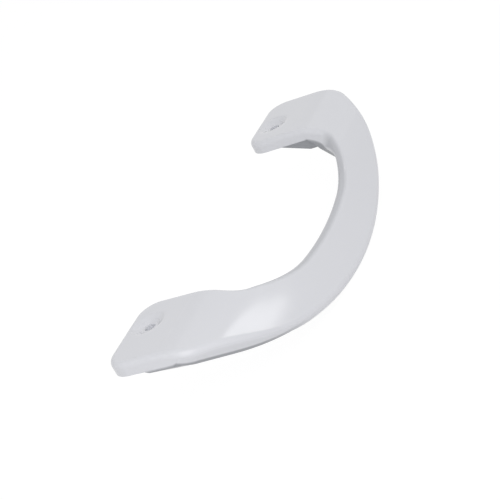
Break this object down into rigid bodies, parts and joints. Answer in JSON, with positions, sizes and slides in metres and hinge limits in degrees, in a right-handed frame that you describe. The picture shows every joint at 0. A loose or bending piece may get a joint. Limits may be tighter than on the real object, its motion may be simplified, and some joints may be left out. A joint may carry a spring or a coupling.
{
  "type": "appliance door handle",
  "caption": "Side-mounted door handle: flat screw feet joined by a bow that bends round the door's corner, with a finger space behind it.",
  "frame": {"origin": "midway between the two screw holes, on the face that lies against the door's side", "axes": "+X points forward past the door's front, +Y along the handle's length, +Z out of the door's side along the screws towards their heads"},
  "size_m": [0.0628, 0.211, 0.0371],
  "materials": {
    "door_handle": "smooth glossy white moulded plastic"
  },
  "bodies": {
    "root": {"door_handle": "door_handle"}
  },
  "joints": []
}
